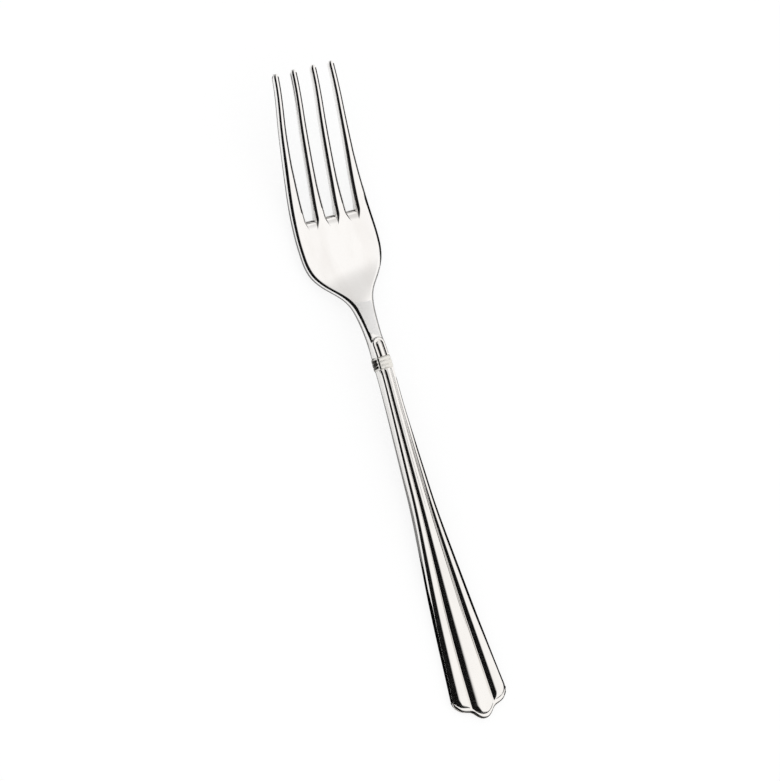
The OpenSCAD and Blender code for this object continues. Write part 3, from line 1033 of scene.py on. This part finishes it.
@dataclass
class Bowl(Region):
    """Dished plate whose three slots end in floors that slope up to its face.

    Attributes:
        ramp_cuts: Rows over the sloped floors.
        web_cuts: Cuts of the face between two slots.
        floor_cuts: Points across a slot's floor.
        wall_lean: How far a slot's wall leans in towards its foot.
        slot_end: Share of a slot's width that is left where its floor meets the face.
        slot_power: How squarely a slot narrows towards that end.
        wall_share: Greatest share of the wall's height that the round at its head takes.
        round_power: How fast that round fades along the slot.
        least_round: Least width of the round.
        lip_round: Radius of the lip where the floor starts.
        ramp_power: How fast the floor rises from its lip.
    """

    cuts: int = 80
    ramp_cuts: int = 44
    web_cuts: int = 6
    floor_cuts: int = 7
    wall_lean: float = 0.05
    slot_end: float = 0.6
    slot_power: float = 2.6
    wall_share: float = 0.95
    round_power: float = 0.6
    least_round: float = 0.05
    lip_round: float = 0.25
    ramp_power: float = 1.8

    def build(self) -> Thing:
        """Makes the bowl.

        Returns:
            The piece, without its finish.
        """
        form, z = self.form, self.form.z
        turn = np.linspace(0, math.pi, self.ramp_cuts + 1)
        ramp_rows = z.root_s + z.ramp_len * (1 - np.cos(turn)) / 2
        plain_rows = self.rows_between(z.root_s + z.ramp_len, z.shoulder_s)
        s = np.concatenate([ramp_rows[:-1, None], plain_rows])
        half = form.half_width(s)
        fit = half / (z.root_span / 2)
        ramp = np.clip((s - z.root_s) / z.ramp_len, 0, 1)
        closing = (1 - ramp ** self.slot_power) ** (1 / self.slot_power)
        inner_edge = z.root_span / 2 - z.outer_root_w
        near, far = ((z.inner_root_pitch + way * z.inner_root_w) / 2 for way in (-1, 1))
        wall = (z.plate_t - z.lip_t) * (1 - ramp) ** self.ramp_power
        r_slot = np.minimum(z.edge_r, wall * self.wall_share)
        r_side = np.maximum(z.edge_r * (1 - ramp) ** self.round_power, self.least_round)
        turns = arc_turns(self.round_cuts[0])
        inset = r_side * (1 - np.cos(turns))
        sink = r_slot * (1 - np.sin(turns))
        edge_r = form.edge_r(s)
        edge_in = edge_r * (1 - np.cos(turns))
        # Each block has the places of its columns, how far they sink, and whether they are floor.
        blocks = [(edge_in - half, 0, 0)]
        before = edge_r - half
        for left, right in ((-inner_edge, -far), (-near, near), (far, inner_edge)):
            mid = fit * (left + right) / 2
            open_half = fit * (right - left) / 2 * (self.slot_end + (1 - self.slot_end) * closing)
            a, b = mid - open_half, mid + open_half
            across = np.linspace(0, 1, self.floor_cuts)
            blocks += [
                (open_span(before, a - r_side, self.web_cuts), 0, 0),
                ((a - inset)[:, ::-1], sink[:, ::-1], 0),
                (mix(a + self.wall_lean, b - self.wall_lean, across), 0, 1),
                (b + inset, sink, 0),
            ]
            before = b + r_side
        blocks.append((open_span(before, half - edge_r, self.web_cuts), 0, 0))
        blocks.append(((half - edge_in)[:, ::-1], 0, 0))
        x, sunk, is_floor = (
            np.concatenate([np.zeros_like(block[0]) + block[k] for block in blocks], axis=1)
            for k in range(3)
        )
        to_edge = half - np.abs(x)
        floor_drop = wall + drop(s - z.root_s, self.lip_round)
        upper = form.top(s, x) - drop(to_edge, edge_r) - sunk - is_floor * floor_drop
        lower = form.under(s, x) + drop(to_edge, z.back_r)
        flags = is_floor[0]
        feet = [k for k in range(1, len(flags) - 1) if flags[k] and not flags[k - 1] * flags[k + 1]]
        return self.skin(x, form.y(s), (upper, lower), crisp_columns=tuple(feet))


@dataclass
class Neck(Region):
    """Neck between the shoulders of the bowl and the arch."""

    round_cuts: tuple[int, int] = (14, 30)

    def build(self) -> Thing:
        """Makes the neck.

        Returns:
            The piece, without its finish.
        """
        form, z = self.form, self.form.z
        s = self.rows_between(z.shoulder_s, z.arch_s)
        half = form.half_width(s)
        low = z.back_r, z.back_r
        x, *heights = bar(form, s, (-half, half), form.edge_r(s), low, self.round_cuts)
        return self.skin(x, form.y(s), heights)


@dataclass
class ReedArch(Region):
    """Outer reed that bends over the end of the middle one.

    Attributes:
        foot_r: Radius of the upper edges below the bend.
    """

    finish: Slot = Slot.REEDED
    round_cuts: tuple[int, int] = (8, 80)
    foot_r: float = 0.4

    def build(self, reeds: Tree, material: bpy.types.Material) -> Thing:
        """Makes the arch, with its reeds raised by the node tree.

        Args:
            reeds: Tree that raises reeds.
            material: Finish of the piece.

        Returns:
            The piece, as a plain mesh.
        """
        form, z = self.form, self.form.z
        s = self.rows_between(z.arch_s, z.collar_s)
        half = form.half_width(s)
        reach = z.neck_w / 2 - z.arch_inset
        r = mix(form.edge_r(s), self.foot_r, np.clip((s - z.arch_s) / reach, 0, 1))
        x, *heights = bar(form, s, (-half, half), r, (z.back_r, z.back_r), self.round_cuts)
        bend = z.arch_s + reach
        extras = {
            "across": [np.where(s > bend, np.abs(x), np.hypot(x, s - bend))],
            "groove": [z.neck_w / 2 * form.GROOVE_SHARE],
            "reach": [reach],
            "lift": [z.reed_top_h],
        }
        return reeds.apply(self.skin(x, form.y(s), heights, extras), {}, material)


@dataclass
class Collar(Region):
    """Tie of three rounded cross bands.

    Attributes:
        side_share: Share of the bands' height that is left on the side walls.
        groove_deep: Depth of the grooves as a multiple of the part's own.
    """

    finish: Slot = Slot.COLLAR
    cuts: int = 91
    round_cuts: tuple[int, int] = (18, 14)
    side_share: float = 0.3
    groove_deep: float = 1.7

    def build(self, bands: Tree, material: bpy.types.Material) -> Thing:
        """Makes the collar, with its bands swelled by the node tree.

        Args:
            bands: Tree that swells cross bands.
            material: Finish of the piece.

        Returns:
            The piece, as a plain mesh.
        """
        form, z = self.form, self.form.z
        s = self.rows_between(z.collar_s, z.grip_s)
        half = form.half_width(s)
        r = z.collar_r + 0 * s
        x, upper, lower = bar(form, s, (-half, half), r, (r, r), self.round_cuts)
        upper = upper + z.reed_top_h
        half_t = (form.depth(s) + z.reed_top_h) / 2
        z_mid = form.edge_z(s) + z.reed_top_h - half_t
        extras = {
            "out_x": [self.side_share * x / half] * 2,
            "out_z": [(upper - z_mid) / half_t, (lower - z_mid) / half_t],
            "turn": [(s - z.collar_s) / z.collar_len] * 2,
        }
        piece = self.skin(x, form.y(s), (upper, lower), extras)
        sizes = {"Stand Out": z.collar_out, "Groove Depth": self.groove_deep * z.band_groove}
        return bands.apply(piece, sizes, material)


@dataclass
class Handle(Region):
    """Three reeds inside a rim, which fan out to a scalloped end.

    Attributes:
        start_cuts: Rows over the rounded start of the reeds.
        end_cuts: Rows that bend towards the scallops.
        reed_cuts: Cuts of an outer reed and of the middle one.
        edge_cuts: Cuts of a rounded side edge.
        low_share: Greatest share of the thickness that a lower round takes.
        end_round: Radius of the end's upper and lower edge.
    """

    finish: Slot = Slot.REEDED
    cuts: int = 170
    start_cuts: int = 16
    end_cuts: int = 60
    reed_cuts: tuple[int, int] = (30, 44)
    edge_cuts: int = 10
    low_share: float = 0.3
    end_round: float = 1.2

    def build(self, reeds: Tree, material: bpy.types.Material) -> Thing:
        """Makes the handle, with its reeds raised by the node tree.

        Args:
            reeds: Tree that raises reeds.
            material: Finish of the piece.

        Returns:
            The piece, as a plain mesh.
        """
        form, z = self.form, self.form.z
        start = np.linspace(z.grip_s, z.grip_s + z.reed_round_len, self.start_cuts)
        straight = np.linspace(start[-1], form.bend_s, self.cuts)[1:]
        bends = np.sin(arc_turns(self.end_cuts))[1:]
        s = np.concatenate([start, straight, mix(form.bend_s, form.corner_s, bends)])[:, None]
        bend = np.concatenate([np.zeros(len(start) + len(straight)), bends])[:, None]
        half = form.half_width(s)
        groove = half * form.GROOVE_SHARE
        r = z.grip_edge_r
        inset = r * (1 - np.cos(arc_turns(self.edge_cuts)))
        outer, middle = self.reed_cuts
        x = np.concatenate([
            inset - half, open_span(r - half, -groove, outer), -groove,
            open_span(-groove, groove, middle), groove,
            open_span(groove, half - r, outer), (half - inset)[:, ::-1],
        ], axis=1)
        scallop = form.scallop_s(x / half)
        bent = np.where(bend > 0, mix(form.bend_s, scallop, bend), s)
        left_over = scallop - bent
        to_edge = half - np.abs(x)
        low_r = np.minimum(z.back_r, form.depth(s) * self.low_share)
        end_drop = drop(left_over, self.end_round)
        upper = form.top(s, x) - drop(to_edge, r) - end_drop
        lower = form.under(s, x) + drop(to_edge, low_r) + end_drop
        ends = rounded((s - z.grip_s) / z.reed_round_len)
        ends = ends * rounded((left_over - z.end_rim_w) / z.reed_round_len)
        extras = {
            "across": [x],
            "groove": [groove],
            "reach": [half - form.side_rim(s)],
            "lift": [form.reed_h(bent) * ends],
        }
        piece = self.skin(x, form.y(bent), (upper, lower), extras, crisp_ends=(True, False))
        return reeds.apply(piece, {}, material)


def make_card(name: str, foot: Grid, head: Grid, tone: float = 0.003) -> Thing:
    """Makes a card between two rows of points, which only reflections show, to paint shade and pale
    reflections into the steel.

    Args:
        name: Name of the card.
        foot: Points of one edge, in millimetres.
        head: Points of the other edge.
        tone: Grey tone of the card.

    Returns:
        The card, on the stage.
    """
    n = len(foot)
    faces = [(i, i + 1, n + i + 1, n + i) for i in range(n - 1)]
    mesh = new_mesh(name, np.concatenate([foot, head]), faces)
    paper = bpy.data.materials.new(name)
    paper.use_nodes = True
    inputs = paper.node_tree.nodes["Principled BSDF"].inputs
    inputs["Base Color"].default_value = (tone, tone, tone, 1)
    inputs["Roughness"].default_value = 1.0
    inputs["Specular IOR Level"].default_value = 0.0
    mesh.materials.append(paper)
    card = into_scene(name, mesh)
    for ray in ("camera", "diffuse", "shadow", "transmission"):
        setattr(card, f"visible_{ray}", False)
    return card


@dataclass(frozen=True)
class Card:
    """Card along one side of the fork, which only reflections show: painted shade in the steel's
    reflections.

    A place is one length, or pairs of station and length.

    Attributes:
        name: Name of the card.
        side: Side of the fork.
        span: Stations of its two ends.
        foot: Distance of its foot from the outline.
        head: Distance of its head from the outline.
        head_z: Height of its head above the floor.
        foot_z: Height of its foot.
        tone: Grey tone of the card.
        from_edge: Whether its head is measured up from the fork's edge, not from the floor.
    """

    name: str
    side: Side
    span: Pair
    foot: float
    head: Place
    head_z: Place
    foot_z: float = 0.2
    tone: float = 0.003
    from_edge: bool = False

    def place(self, form: Form) -> Thing:
        """Makes the card beside the fork.

        Args:
            form: The fork's curves.

        Returns:
            The card, on the stage.
        """
        s = np.arange(*self.span, CARD_STEP)
        half = form.half_width(s)

        def along(place: Place) -> Grid:
            """Returns the length at each station."""
            return np.interp(s, *zip(*place)) if isinstance(place, tuple) else place + 0 * s

        turn = self.side.value
        head_z = along(self.head_z) + (form.edge_z(s) if self.from_edge else 0)
        head_z = np.maximum(head_z, LEAST_CARD_Z)
        foot = sheet_points(turn * (half + self.foot), form.y(s), self.foot_z)
        head = sheet_points(turn * (half + along(self.head)), form.y(s), head_z)
        return make_card(self.name, foot, head, self.tone)


# Cards of painted shade, which only reflections show.
PAINTED_SHADE_CARDS = (
    # Painted shadow of the tines on the floor, seen only in reflections.
    Card(
        "tine_painted_shadow", Side.LEFT, (-8.0, 45.0), -0.5,
        head=((-8, 6), (0, 6), (20, 3.2), (36, 2.6), (45, 3.2)), head_z=0.2, tone=0.2,
    ),
    # Painted shadow on the floor beside the bowl, the neck and most of the handle, seen only in
    # reflections.
    Card(
        "left_painted_shadow", Side.LEFT, (44.0, 164.0), -0.5,
        head=((44, 3.2), (62, 3.2), (76, 3.6), (89, 2.2), (125, 1.8), (150, 2), (164, 3)),
        head_z=0.2, tone=0.3,
    ),
    # Painted shadow on the floor beside the collar, seen only in reflections.
    Card("collar_painted_shadow", Side.LEFT, (90.0, 94.4), 0.3, head=60.0, head_z=0.4),
    # Painted shadow on the floor beside and beyond the end of the handle, seen only in reflections.
    Card(
        "left_end_painted_shadow", Side.LEFT, (146.0, 290.0), -0.5,
        head=((146, -0.3), (158, 1.5), (166, 6), (176, 120), (290, 120)), head_z=0.4,
    ),
    # Upright dark card: painted dark reflection along the right edge of the tine roots and the bowl.
    Card(
        "right_painted_dark_reflection", Side.RIGHT, (38.0, 66.0), 5.0,
        head=5.0, head_z=((38, 3), (44, 14), (56, 14), (66, 2)),
    ),
    # Upright grey card: painted dark reflection along the right edge of the neck.
    Card(
        "neck_painted_dark_reflection", Side.RIGHT, (64.0, 91.0), 2.5,
        head=2.5, head_z=((64, 5), (76, 9), (91, 10)), tone=0.5,
    ),
    # Card over the neck: painted grey shade in the neck's reflection.
    Card(
        "neck_roof_painted_grey", Side.RIGHT, (57.0, 80.0), -14.0,
        head=26.0, head_z=34.0, foot_z=26.0, tone=1.0,
    ),
    # Upright dark card close to the handle's right side: painted dark reflection along its right
    # edge.
    Card(
        "right_low_painted_dark_reflection", Side.RIGHT, (98.0, 202.0), 0.3, head=0.3,
        head_z=((98, 0.6), (112, 0.9), (120, 1.7), (150, 2.4), (170, 2.3), (184, 1.3), (202, 0.4)),
        from_edge=True,
    ),
)


def crest_painted_pale_reflection(
    form: Form,
    ends: Pair = (0.1, 46.1),
    tall: float = 3.0,
    fall_power: float = 0.7,
    clear: float = 0.15,
    tone: float = 0.9,
) -> Thing:
    """Makes a pale upright card over the middle reed, which only reflections show: a painted pale
    reflection that pales the groove at its right.

    Args:
        form: The fork's curves.
        ends: Distances of its two ends from the collar.
        tall: Height of the card next to the collar, from where it falls to nothing.
        fall_power: How late it falls.
        clear: Distance between the reed and the card.
        tone: Grey tone of the card.

    Returns:
        The card, on the stage.
    """
    start, stop = (form.z.grip_s + end for end in ends)
    s = np.arange(start, stop, CARD_STEP)
    foot_z = form.edge_z(s) + form.reed_h(s) + form.crown(s) + clear
    head_z = foot_z + tall * (1 - (s - start) / (stop - start)) ** fall_power
    foot, head = (sheet_points(0 * s, form.y(s), z) for z in (foot_z, head_z))
    return make_card("crest_painted_pale_reflection", foot, head, tone)


def end_painted_shadow(
    form: Form,
    gap: float = 0.8,
    spread_out: float = 6.0,
    depth: float = 90.0,
    z: float = 0.2,
    cuts: int = 80,
) -> Thing:
    """Makes a black card on the floor beyond the scalloped end, which only reflections show: a
    painted shadow that the end's walls reflect.

    Args:
        form: The fork's curves.
        gap: Distance of the card from the end.
        spread_out: How much wider the card is at its far edge.
        depth: Distance of its far edge from the end.
        z: Height of the card.
        cuts: Cuts of its scalloped edge.

    Returns:
        The card, on the stage.
    """
    share = np.linspace(-1, 1, cuts + 1)
    x = share * (form.z.grip_end_w / 2 + gap)
    near = sheet_points(x, form.y(form.scallop_s(share)) - gap, z)
    return make_card("end_painted_shadow", near, sheet_points(x * spread_out, form.y(form.z.end_s) - depth, z))


@dataclass(frozen=True)
class Studio:
    """Pale floor, soft white surround with dark zones that steel reflects, and the camera.

    Angles are in degrees. The edge of a zone is its angle and how many degrees it is blurred
    over. Its angle is measured from the zenith, if nothing else is said.

    Attributes:
        floor_size: Side of the floor, in millimetres.
        paper: Tone of the floor where it takes shadows.
        glow: Strength of the floor's white for the camera.
        shade: Share of the floor's tone that takes shadows.
        mirrored_glow: Share of the floor's white that reflections see.
        room_colour: Tint of the room in reflections.
        room_level: Strength of the room's light.
        darkest: Share of it that the darkest zone swallows.
        horizon: Edge of the floor, in elevation.
        flag_top: Upper edge of the dark flag, towards the left.
        flag_foot: Its lower edge.
        ends: Edge of the dark at both ends, measured from the plane across the fork.
        ends_dark: How dark these ends are.
        low_end: Edge of the dark beyond the handle.
        low_left: Edge of that dark, towards the left.
        far_edge: Edge of the greyer zone beyond the tips, which leans with the camera.
        far_foot: Lower edge of that zone.
        far_lean: How far its edge moves for each degree sideways.
        far_grey: How much darker that zone is.
        side_tilt: Tilt of the camera from the vertical, towards the left.
        end_tilt: Its tilt towards the handle.
        roll: Turn of the picture.
        distance: Distance of the camera from its aim, in metres.
        aim: Point that the camera looks at, in metres.
        lens: Focal length, in millimetres.
        sensor: Width of the sensor, in millimetres.
        clip_end: Farthest distance that the camera sees, in metres.
    """

    floor_size: float = 8000.0
    paper: float = 0.93
    glow: float = 1.03
    shade: float = 0.22
    mirrored_glow: float = 0.3
    room_colour: tuple[float, float, float, float] = (1.0, 0.985, 0.97, 1)
    room_level: float = 1.02
    darkest: float = 0.995
    horizon: Pair = (-1.0, 1.0)
    flag_top: Pair = (9.0, 15.0)
    flag_foot: Pair = (96.0, 6.0)
    ends: Pair = (60.0, 12.0)
    ends_dark: float = 0.8
    low_end: Pair = (52.0, 10.0)
    low_left: Pair = (-5.0, 30.0)
    far_edge: Pair = (28.0, 22.0)
    far_foot: Pair = (56.0, 8.0)
    far_lean: float = 1.2
    far_grey: float = 0.24
    side_tilt: float = 25.0
    end_tilt: float = 4.0
    roll: float = 17.414
    distance: float = 1.3
    aim: Triple = (-0.000048, 0.00116, 0.006)
    lens: float = 197.05
    sensor: float = 36.0
    clip_end: float = 50.0

    def floor(self) -> Thing:
        """Makes the floor: white for the camera and in reflections, with a soft shadow.

        Returns:
            The floor, on the stage.
        """
        corners = np.array([(-1, -1, 0), (1, -1, 0), (1, 1, 0), (-1, 1, 0)])
        mesh = new_mesh("floor", corners * self.floor_size / 2, [(0, 1, 2, 3)])
        material = bpy.data.materials.new("pale_floor")
        material.use_nodes = True
        material.node_tree.nodes.clear()
        t = Nodes(material.node_tree)
        paper = t.out("ShaderNodeBsdfDiffuse", {"Color": (self.paper, self.paper, self.paper, 1)})
        glow = t.out("ShaderNodeEmission", {"Color": WHITE, "Strength": self.glow})
        kinds = ("Is Camera Ray", "Is Glossy Ray", "Is Transmission Ray")
        direct, mirrored, through = (t.out("ShaderNodeLightPath", output=kind) for kind in kinds)
        seen = t.math("MAXIMUM", direct, mirrored * self.mirrored_glow)
        share = t.math("MAXIMUM", seen, through) * (1 - self.shade)
        t.add("ShaderNodeOutputMaterial", {"Surface": t.mixed(share, paper, glow)})
        mesh.materials.append(material)
        floor = into_scene("floor", mesh)
        return floor

    def surround(self) -> None:
        """Makes the world: a white room, whose dark zones only reflections see."""
        world = bpy.data.worlds.new("studio")
        bpy.context.scene.world = world
        world.use_nodes = True
        world.node_tree.nodes.clear()
        t = Nodes(world.node_tree)

        def past(value: Value, edge: Pair) -> Value:
            """Adds a soft step where an angle passes an edge.

            Args:
                value: The angle, in radians.
                edge: The edge of a zone.

            Returns:
                0 before the edge and 1 past it.
            """
            at, blur = edge
            low, high = math.radians(at - blur / 2), math.radians(at + blur / 2)
            inputs = {"Value": value, "From Min": low, "From Max": high}
            return t.out("ShaderNodeMapRange", inputs, interpolation_type="SMOOTHSTEP")

        direction = t.out("ShaderNodeTexCoord", output="Generated")
        x, y, z = (t.out("ShaderNodeSeparateXYZ", {0: direction}, axis) for axis in "XYZ")
        leftward = t.math("ARCTAN2", x * -1.0, z)
        tipward = t.math("ARCTAN2", y, z)
        sky = past(t.math("ARCSINE", z), self.horizon)
        flag = past(leftward, self.flag_top) * (1.0 - past(leftward, self.flag_foot))
        ends = past(t.math("ARCSINE", abs(y)), self.ends) * self.ends_dark
        low_end = past(tipward * -1.0, self.low_end) * past(leftward, self.low_left)
        dark = t.math("MAXIMUM", ends, t.math("MAXIMUM", flag, low_end)) * sky
        lean = tipward + (leftward + math.radians(self.side_tilt)) * self.far_lean
        far = past(lean, self.far_edge) * (1.0 - past(tipward, self.far_foot))
        level = (self.room_level - far * self.far_grey) * (1.0 - dark * self.darkest)
        room = t.out("ShaderNodeBackground", {"Color": self.room_colour, "Strength": level})
        plain = t.out("ShaderNodeBackground", {"Color": WHITE, "Strength": 1.0})
        mirrored = t.out("ShaderNodeLightPath", output="Is Glossy Ray")
        t.add("ShaderNodeOutputWorld", {"Surface": t.mixed(mirrored, plain, room)})

    def camera(self) -> Thing:
        """Places the camera at the photograph's angle.

        Returns:
            The scene's camera.
        """
        side, end = math.radians(self.side_tilt), math.radians(self.end_tilt)
        away = Vector((-math.tan(side), -math.tan(end), 1.0)).normalized()
        up = Vector((0, 1, 0))
        up = (up - up.dot(away) * away).normalized()
        right = up.cross(away)
        turn = math.radians(self.roll)
        image_up = up * math.cos(turn) + right * math.sin(turn)
        image_right = right * math.cos(turn) - up * math.sin(turn)
        place = Vector(self.aim) + away * self.distance
        matrix = Matrix((image_right, image_up, away)).transposed().to_4x4()
        matrix.translation = place
        data = bpy.data.cameras.new("camera")
        data.lens = self.lens
        data.sensor_width = self.sensor
        data.sensor_fit = "HORIZONTAL"
        data.clip_end = self.clip_end
        camera = into_scene("camera", data)
        camera.matrix_world = matrix
        bpy.context.scene.camera = camera
        return camera


def main() -> None:
    """Builds the fork region by region, then the stage."""
    logging.basicConfig(level=logging.INFO, format="%(name)s: %(message)s")
    form = Form(Sizes())
    steels = {steel.slot: steel.material() for steel in FINISHES}
    reeds, bands = reed_tree(), band_tree()
    tines = [
        Tine(form, "outer_left_tine", side=Side.LEFT, outer=True),
        Tine(form, "inner_left_tine", side=Side.LEFT, outer=False),
        Tine(form, "inner_right_tine", side=Side.RIGHT, outer=False),
        Tine(form, "outer_right_tine", side=Side.RIGHT, outer=True),
    ]
    for region in [*tines, Bowl(form, "bowl"), Neck(form, "neck")]:
        region.dress(region.build(), steels[region.finish])
    for region, tree in (
        (ReedArch(form, "reed_arch"), reeds),
        (Collar(form, "collar"), bands),
        (Handle(form, "handle"), reeds),
    ):
        steel = steels[region.finish]
        region.dress(region.build(tree, steel), steel)
    studio = Studio()
    studio.floor()
    # Cards of painted shade, which only reflections show.
    for card in PAINTED_SHADE_CARDS:
        card.place(form)
    # Painted dark reflections along the tines' right edges.
    for tine in tines:
        tine.dark_edge_painted_reflection()
    # Painted pale reflection over the middle reed's groove.
    crest_painted_pale_reflection(form)
    # Painted shadow on the floor beyond the end, seen only in reflections.
    end_painted_shadow(form)
    studio.surround()
    studio.camera()
    bpy.context.scene.view_settings.view_transform = "Standard"


if __name__ == "__main__":
    main()
